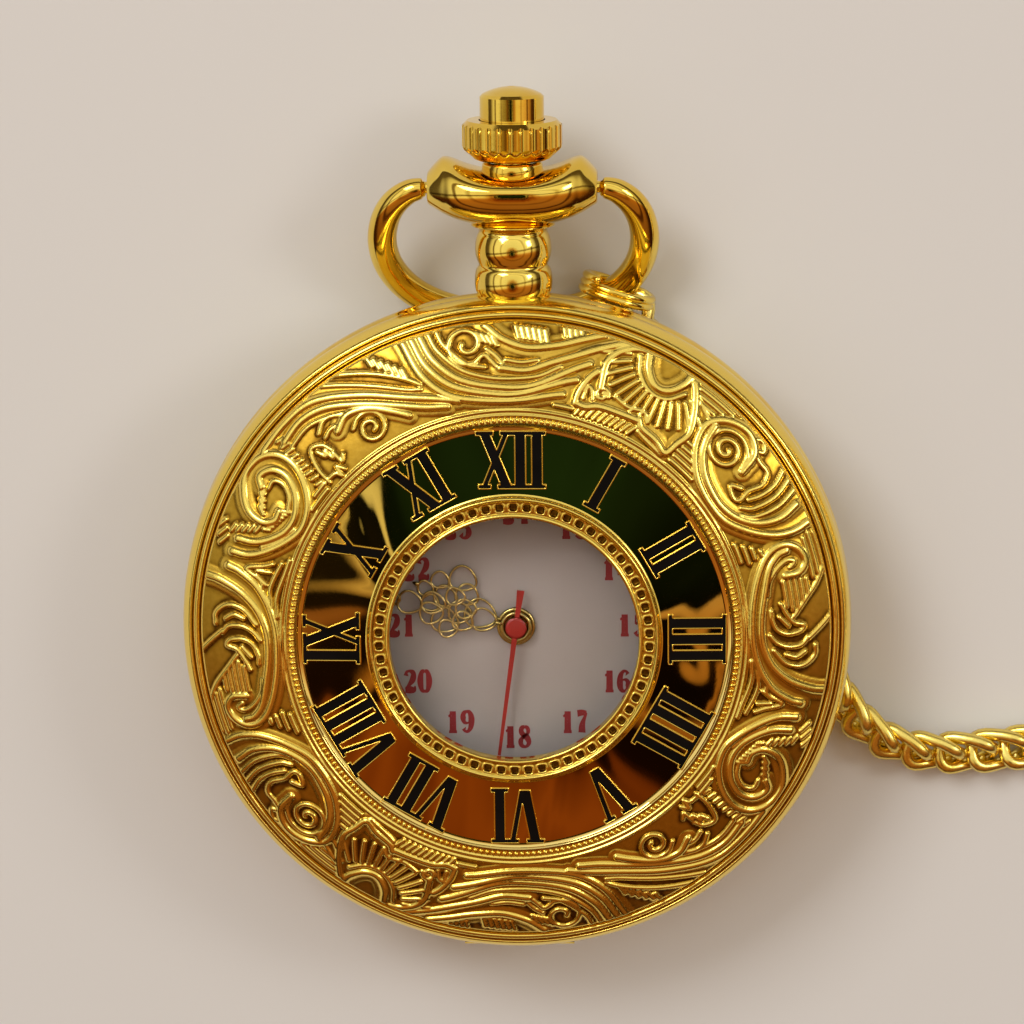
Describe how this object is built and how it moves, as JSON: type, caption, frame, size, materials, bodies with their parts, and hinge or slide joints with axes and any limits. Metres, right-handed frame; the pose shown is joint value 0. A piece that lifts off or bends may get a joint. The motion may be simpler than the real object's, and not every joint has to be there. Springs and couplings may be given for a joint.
{
  "type": "pocket watch",
  "caption": "Half-hunter pocket watch with an engraved, glazed front lid, Roman numeral ring, push-button crown, swinging bow and curb chain.",
  "frame": {"origin": "centre of the flat on the back cover, on which the watch lies", "axes": "+Z is the dial's normal, +Y points to 12 o'clock and the crown, +X to 3 o'clock"},
  "size_m": [0.1075, 0.0612, 0.0129],
  "materials": {
    "gold_case": "polished gold plate",
    "engraved_gold": "engraved gold plate",
    "chain_gold": "polished gold plate",
    "black_enamel": "gloss enamel",
    "glass": "clear",
    "steel": "satin",
    "brass_wheels": "machined",
    "seal_rubber": "matte",
    "holder_plastic": "moulded",
    "dial_white": "satin white lacquer",
    "gilt_hands": "gilt",
    "red_hand": "gloss",
    "copper_wire": "lacquered wire",
    "board_green": "satin"
  },
  "bodies": {
    "case": {"back_cover": "gold_case", "back_gasket": "seal_rubber", "battery": "steel", "battery_clamp": "steel", "case_middle": "gold_case", "chain_coil": "chain_gold", "chain_run": "chain_gold", "circuit_board": "board_green", "coil_core": "steel", "dial": "dial_white", "dial_crystal": "glass", "drive_coil": "copper_wire", "end_clasp": "chain_gold", "hinge_pin": "gold_case", "inner_bezel": "steel", "lift_spring": "steel", "main_plate": "brass_wheels", "movement_holder": "holder_plastic", "movement_screws": "steel", "pendant": "gold_case", "pendant_tube": "gold_case", "quartz_can": "steel", "stator": "steel", "train_bridge": "steel"},
    "lid": {"front_lid": "engraved_gold", "window_bezel": "engraved_gold", "window_glass": "glass", "glass_ring": "steel", "numeral_inlays": "black_enamel"},
    "crown_seal": {"crown_gasket": "seal_rubber"},
    "crown": {"crown": "gold_case", "setting_stem": "steel", "clutch_pinion": "steel", "button_spring": "steel"},
    "button": {"crown_button": "gold_case", "button_rod": "steel"},
    "latch": {"lid_latch": "steel"},
    "bow": {"bow": "gold_case", "split_ring": "gold_case"},
    "hour": {"hour_wheel": "brass_wheels", "hour_hand": "gilt_hands"},
    "minute": {"centre_wheel": "brass_wheels", "minute_hand": "gilt_hands"},
    "second": {"second_wheel": "brass_wheels", "second_hand": "red_hand"},
    "third": {"third_wheel": "brass_wheels"},
    "step": {"step_wheel": "brass_wheels"},
    "rotor": {"rotor": "brass_wheels", "rotor_magnet": "steel"},
    "motion_work": {"minute_wheel": "brass_wheels"}
  },
  "joints": [
    {"name": "lid_hinge", "type": "hinge", "parent": "case", "child": "lid", "pos_m": [0, -0.0229, 0.00795], "axis": [1, 0, 0], "range_deg": [0, 90]},
    {"name": "crown_pull", "type": "slide", "parent": "case", "child": "crown_seal", "axis": [0, 1, 0], "range_m": [0, 0.0012]},
    {"name": "crown_turn", "type": "hinge", "parent": "crown_seal", "child": "crown", "pos_m": [0, 0.033, 0.0068], "axis": [0, 1, 0], "continuous": true},
    {"name": "button_press", "type": "slide", "parent": "crown", "child": "button", "axis": [0, -1, 0], "range_m": [0, 0.0007], "stiffness_N_per_m": 1500},
    {"name": "latch_slide", "type": "slide", "parent": "case", "child": "latch", "axis": [0, -1, 0], "range_m": [0, 0.0007]},
    {"name": "bow_swing", "type": "hinge", "parent": "case", "child": "bow", "pos_m": [0, 0.0307, 0.0068], "axis": [1, 0, 0], "range_deg": [0, 280]},
    {"name": "second_turn", "type": "hinge", "parent": "case", "child": "second", "pos_m": [0, 0, 0.009], "axis": [0, 0, -1], "continuous": true},
    {"name": "minute_turn", "type": "hinge", "parent": "case", "child": "minute", "pos_m": [0, 0, 0.0088], "axis": [0, 0, -1], "continuous": true},
    {"name": "hour_turn", "type": "hinge", "parent": "case", "child": "hour", "pos_m": [0, 0, 0.0085], "axis": [0, 0, -1], "continuous": true},
    {"name": "third_turn", "type": "hinge", "parent": "case", "child": "third", "pos_m": [0.0026, -0.00227, 0.0046], "axis": [0, 0, -1], "continuous": true},
    {"name": "step_turn", "type": "hinge", "parent": "case", "child": "step", "pos_m": [-0.0022, -0.0022, 0.004], "axis": [0, 0, -1], "continuous": true},
    {"name": "rotor_turn", "type": "hinge", "parent": "case", "child": "rotor", "pos_m": [-0.00415, -0.00405, 0.004], "axis": [0, 0, -1], "continuous": true},
    {"name": "motion_work_turn", "type": "hinge", "parent": "case", "child": "motion_work", "pos_m": [-0.002, 0.0019, 0.007], "axis": [0, 0, -1], "continuous": true}
  ],
  "couplings": [
    {"joint": "latch_slide", "follows": "button_press", "ratio": 1},
    {"joint": "minute_turn", "follows": "second_turn", "ratio": 0.016667},
    {"joint": "hour_turn", "follows": "second_turn", "ratio": 0.0013889},
    {"joint": "third_turn", "follows": "second_turn", "ratio": -0.125},
    {"joint": "step_turn", "follows": "second_turn", "ratio": -5},
    {"joint": "rotor_turn", "follows": "second_turn", "ratio": 30},
    {"joint": "motion_work_turn", "follows": "second_turn", "ratio": -0.0055556}
  ]
}
